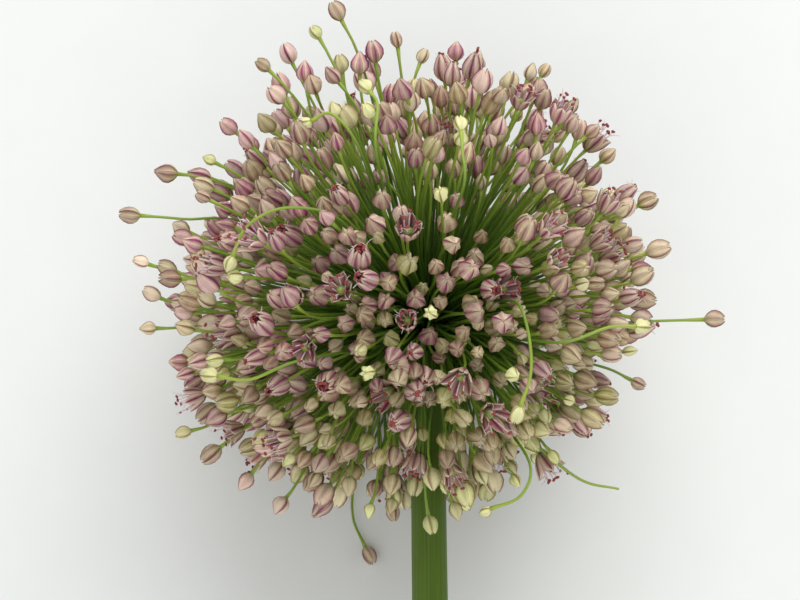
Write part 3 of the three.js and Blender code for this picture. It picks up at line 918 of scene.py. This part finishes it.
class Surface:
    """A material and its nodes, added by short calls. A value is a number, a colour or a socket."""

    def __init__(self, name, roughness, specular=0.4, subsurface=0.0):
        self.material = bpy.data.materials.new(name)
        self.material.use_nodes = True
        self.tree = self.material.node_tree
        self.shader = self.tree.nodes["Principled BSDF"]
        self.shader.inputs["Roughness"].default_value = roughness
        self.shader.inputs["Specular IOR Level"].default_value = specular
        self.shader.inputs["Subsurface Weight"].default_value = subsurface
        self.shader.inputs["Subsurface Radius"].default_value = (1.0, 0.6, 0.4)
        self.shader.inputs["Subsurface Scale"].default_value = 0.5 * MM

    def node(self, kind, inputs=(), **settings):
        node = self.tree.nodes.new(kind)
        for key, value in settings.items():
            setattr(node, key, value)
        for key, value in dict(inputs).items():
            self.feed(node.inputs[key], value)
        return node

    def feed(self, socket, value):
        if isinstance(value, bpy.types.NodeSocket):
            self.tree.links.new(value, socket)
        else:
            socket.default_value = value

    def math(self, operation, a, b=0.0):
        return self.node("ShaderNodeMath", {0: a, 1: b}, operation=operation).outputs[0]

    def mix(self, factor, a, b, blend="MIX"):
        node = self.node("ShaderNodeMix", data_type="RGBA", blend_type=blend)
        self.feed(node.inputs[0], factor)
        self.feed(node.inputs[6], a)
        self.feed(node.inputs[7], b)
        return node.outputs[2]

    def dimmed(self, colour, level):
        """The colour made darker or lighter by a level."""
        grey = self.node("ShaderNodeCombineColor", {0: level, 1: level, 2: level}).outputs[0]
        return self.mix(1.0, colour, grey, "MULTIPLY")

    def ramp(self, factor, stops):
        node = self.node("ShaderNodeValToRGB", {"Fac": factor})
        elements = node.color_ramp.elements
        while len(elements) < len(stops):
            elements.new(0.5)
        for element, (place, colour) in zip(elements, stops):
            element.position = place
            element.color = linear(colour) if len(colour) == 3 else colour
        return node.outputs["Color"]

    def remap(self, value, low, high, to_low=0.0, to_high=1.0):
        node = self.node("ShaderNodeMapRange", {
            "Value": value, "From Min": low, "From Max": high, "To Min": to_low, "To Max": to_high,
        })
        return node.outputs[0]

    def uv(self):
        place = self.node("ShaderNodeUVMap", uv_map="UVMap").outputs[0]
        split = self.node("ShaderNodeSeparateXYZ", {0: place})
        return split.outputs["X"], split.outputs["Y"]

    def tint(self):
        """Sockets for greenness, shade, paleness and the lot."""
        attribute = self.node("ShaderNodeAttribute", attribute_name="tint")
        split = self.node("ShaderNodeSeparateColor", {"Color": attribute.outputs["Color"]})
        return (*split.outputs[:3], attribute.outputs["Alpha"])

    def point(self, x, y, z):
        return self.node("ShaderNodeCombineXYZ", {"X": x, "Y": y, "Z": z}).outputs[0]

    def place(self):
        return self.node("ShaderNodeTexCoord").outputs["Object"]

    def noise(self, vector, scale, detail=3.0):
        node = self.node("ShaderNodeTexNoise", {"Vector": vector, "Scale": scale, "Detail": detail})
        return node.outputs["Fac"]

    def bump(self, height, distance, strength=1.0):
        node = self.node("ShaderNodeBump", {"Height": height, "Distance": distance, "Strength": strength})
        self.feed(self.shader.inputs["Normal"], node.outputs[0])

    def colour(self, value):
        self.feed(self.shader.inputs["Base Color"], value)


def tepal_stripes(s, across, dark, body, light, edge, painted_shadow):
    """Colours over one outer tepal and the inner tepal beside it: 0 is the outer midrib, 1 the inner."""
    return s.ramp(across, [
        (0.0, dark), (0.04, dark), (0.13, body), (0.36, light),
        # painted shadow at 0.61, where the outer tepal's edge lies over the inner one
        (0.54, edge), (0.61, painted_shadow), (0.67, light), (0.9, body), (1.0, dark),
    ])


def tepal_material():
    """Petal skin: a dark stripe on each midrib, pale papery edges and tips, green at the base, and a painted
    shadow line where the tepals overlap.
    """
    s = Surface("tepal", roughness=0.48, specular=0.38, subsurface=0.12)
    u, v = s.uv()
    green, shade, pale, lot = s.tint()
    third = s.math("FRACT", s.math("ADD", s.math("MULTIPLY", u, 3.0), 0.5))
    off_keel = s.math("MULTIPLY", s.math("ABSOLUTE", s.math("SUBTRACT", third, 0.5)), 2.0)
    own = s.math("MULTIPLY", lot, 90.0)
    streak = s.noise(s.point(s.math("MULTIPLY", u, 46.0), s.math("MULTIPLY", v, 2.2), own), 1.0)
    ragged = s.math("ADD", off_keel, s.math("MULTIPLY", s.math("SUBTRACT", streak, 0.5), 0.14))
    mauve = tepal_stripes(s, ragged, STRIPE_MAUVE, BODY_MAUVE, LIGHT_MAUVE, EDGE_MAUVE, PAINTED_SHADOW_MAUVE)
    olive = tepal_stripes(s, ragged, STRIPE_GREEN, BODY_GREEN, LIGHT_GREEN, EDGE_GREEN, PAINTED_SHADOW_GREEN)
    blotch = s.noise(s.place(), 700.0, 2.0)
    greenness = s.math("ADD", green, s.math("MULTIPLY", s.math("SUBTRACT", blotch, 0.5), 0.9))
    greener = s.math("ADD", greenness, s.remap(v, 0.0, 0.35, 0.7, 0.0))
    skin = s.mix(s.math("MINIMUM", s.math("MAXIMUM", greener, 0.0), 1.0), mauve, olive)
    even = s.mix(green, linear(FLUSH_MAUVE), linear(FLUSH_GREEN))
    skin = s.mix(s.remap(s.math("FRACT", s.math("MULTIPLY", lot, 7.0)), 0.0, 1.0, 0.0, 0.55), skin, even)
    off_stripe = s.remap(off_keel, 0.06, 0.3)
    papery = s.math("MULTIPLY", s.remap(v, 0.68, 0.96, 0.0, 0.72), off_stripe)
    skin = s.mix(papery, skin, linear(EDGE_MAUVE))
    to_pale = s.mix(green, linear(PETAL_WHITE), linear(CREAM))
    skin = s.mix(s.math("MULTIPLY", pale, off_stripe), skin, to_pale)
    # the tint's shade is random tone, with painted shade on the upper side of the head
    level = s.remap(s.math("ADD", shade, s.math("MULTIPLY", streak, 0.4)), 0.2, 1.25, 0.58, 1.2)
    s.colour(s.dimmed(skin, level))
    s.bump(streak, 0.14 * MM, 0.7)
    return s.material


def pedicel_material():
    """Stalk skin: dark with painted shade inside the head, bright green and then yellower towards the bud,
    streaked.
    """
    s = Surface("pedicel", roughness=0.42, specular=0.4, subsurface=0.08)
    u, v = s.uv()
    bright, shade, _, lot = s.tint()
    own = s.math("MULTIPLY", lot, 60.0)
    streak = s.noise(s.point(s.math("MULTIPLY", u, 9.0), s.math("MULTIPLY", v, 5.0), own), 1.0)
    yellow = s.math("MULTIPLY", bright, s.remap(v, 0.3, 1.0, 0.15, 1.0))
    base = s.mix(yellow, linear(PEDICEL_GREEN), linear(PEDICEL_YELLOW))
    # painted shade: dark near the foot, deep inside the head
    painted_deep_shade = s.mix(s.remap(v, 0.05, 0.62, 0.95, 0.0), base, linear(PEDICEL_PAINTED_SHADE))
    level = s.remap(s.math("ADD", shade, s.math("MULTIPLY", streak, 0.5)), 0.2, 1.3, 0.75, 1.12)
    s.colour(s.dimmed(painted_deep_shade, level))
    s.bump(streak, 0.05 * MM, 0.5)
    return s.material


def plain_tissue(name, dark, light, roughness, scale):
    """A small part of the flower: two shades of one colour and a fine grain."""
    s = Surface(name, roughness=roughness, subsurface=0.1)
    grain = s.noise(s.place(), scale, 3.0)
    s.colour(s.ramp(grain, [(0.3, dark), (0.7, light)]))
    s.bump(grain, 0.04 * MM, 0.5)
    return s.material


def scape_material():
    """Stem skin: fine stripes along it, a waxy coat that is paler and bluer on one side as a painted
    highlight, and painted shade at the top inside the head.
    """
    s = Surface("scape", roughness=0.5, specular=0.25, subsurface=0.05)
    u, v = s.uv()
    streak = s.noise(s.point(s.math("MULTIPLY", u, 60.0), s.math("MULTIPLY", v, 5.0), 3.0), 1.0, 4.0)
    base = s.ramp(streak, [(0.25, SCAPE_GREEN), (0.75, SCAPE_LIGHT)])
    left = s.math("COSINE", s.math("MULTIPLY", s.math("SUBTRACT", u, 0.5), 2 * math.pi))
    patchy = s.noise(s.place(), 220.0, 4.0)
    # waxy coat and painted highlight: paler and bluer on one side
    bloom_and_highlight = s.math("MULTIPLY", s.remap(left, 0.1, 1.0, 0.0, 0.45), s.remap(patchy, 0.3, 0.7, 0.4, 1.0))
    bloomed_and_highlit = s.mix(bloom_and_highlight, base, linear(SCAPE_BLOOM_HIGHLIGHT))
    # painted shade: the top, inside the head, turns towards the dark green of the pedicels' painted shade
    s.colour(s.mix(s.remap(v, 0.72, 0.86, 0.0, 0.5), bloomed_and_highlit, linear(PEDICEL_PAINTED_SHADE)))
    s.bump(streak, 0.12 * MM, 0.7)
    return s.material


def pith_material():
    """Cut face: pale pith with darker dots of sap vessels and a green rind."""
    s = Surface("pith", roughness=0.35, subsurface=0.15)
    _, inward = s.uv()
    cells = s.node("ShaderNodeTexVoronoi", {"Vector": s.place(), "Scale": 1500.0}).outputs["Distance"]
    flesh = s.ramp(cells, [(0.0, PITH_DOT), (0.35, PITH_GREEN), (1.0, PITH_PALE)])
    s.colour(s.mix(s.remap(inward, 0.02, 0.14, 1.0, 0.0), flesh, linear(SCAPE_GREEN)))
    s.bump(cells, 0.08 * MM, 0.6)
    return s.material


def floor_material():
    s = Surface("pale_floor", roughness=0.85, specular=0.1)
    grain = s.noise(s.place(), 90.0, 5.0)
    s.colour(s.ramp(grain, [(0.0, FLOOR_WHITE), (1.0, FLOOR_LIGHT)]))
    s.bump(grain, 0.1 * MM, 0.15)
    return s.material


# Stage ------------------------------------------------------------------------------------------


def row_direction(vector):
    """A direction of the head's frame in the row frame."""
    x, y, z = vector
    cos, sin = math.cos(TILT), math.sin(TILT)
    return np.array([x, y * cos - z * sin, y * sin + z * cos])


def aim(obj, place, target):
    obj.location = place
    obj.rotation_euler = (Vector(target) - Vector(place)).to_track_quat("-Z", "Y").to_euler()


def build_floor():
    mesh = bpy.data.meshes.new("floor")
    half = 3.0
    corners = [(-half, -half, 0), (half, -half, 0), (half, half, 0), (-half, half, 0)]
    mesh.from_pydata(corners, [], [(0, 1, 2, 3)])
    mesh.materials.append(floor_material())
    floor = bpy.data.objects.new("floor", mesh)
    bpy.context.collection.objects.link(floor)


def add_area_light(name, place, target, size, power):
    light = bpy.data.lights.new(name, "AREA")
    light.size = size
    light.energy = power
    obj = bpy.data.objects.new(name, light)
    bpy.context.collection.objects.link(obj)
    aim(obj, place, target)


def light_stage(centre):
    """A big soft light from beyond the crown, a weak one from the other side and a pale room all round."""
    add_area_light("key", centre + np.array([0.25, 0.8, 0.8]), centre, size=1.3, power=12.5)
    add_area_light("fill", centre + np.array([-0.1, -0.85, 0.75]), centre, size=1.3, power=5.0)
    world = bpy.data.worlds.new("pale_room")
    world.use_nodes = True
    background = world.node_tree.nodes["Background"]
    background.inputs["Color"].default_value = (1, 1, 1, 1)
    background.inputs["Strength"].default_value = 0.6
    bpy.context.scene.world = world


def build_camera():
    """Looks straight at the upper side of the head, square to the scape, crown up."""
    frame_width = 144.0  # millimetres across the picture, at the middle of the head
    distance = 520.0
    middle = np.array([-5.0, 8.1, 0.0])  # of the picture, a little below the ball's centre
    data = bpy.data.cameras.new("camera")
    data.sensor_width = 36
    data.lens = 36 * distance / frame_width
    data.clip_start = 0.01
    camera = bpy.data.objects.new("camera", data)
    bpy.context.collection.objects.link(camera)
    target = head_to_row(middle)
    place = target + row_direction((0, 0, distance)) * MM
    aim(camera, place, target)
    bpy.context.scene.camera = camera


MATERIALS = {
    "tepal": tepal_material(),
    "pedicel": pedicel_material(),
    "filament": plain_tissue("filament", FILAMENT_PINK, FILAMENT_WHITE, 0.5, 3000.0),
    "anther": plain_tissue("anther", ANTHER_DARK, ANTHER_RED, 0.6, 4000.0),
    "ovary": plain_tissue("ovary", OVARY_GREEN, OVARY_LIGHT, 0.4, 2500.0),
    "scape": scape_material(),
    "pith": pith_material(),
}
BUD_SHAPES = [
    bud_shape(profile, lobes, lean, seed)
    for profile, lobes in ((POINTED_BUD, 0.1), (POINTED_BUD, 0.22), (STAR_BUD, 0.28), (STAR_BUD, 0.4))
    for lean, seed in ((0.0, 1), (0.14, 2))
]

build_scape()
build_umbel()
build_floor()
light_stage(head_to_row(BALL_CENTRE))
build_camera()
bpy.context.scene.view_settings.view_transform = "Standard"
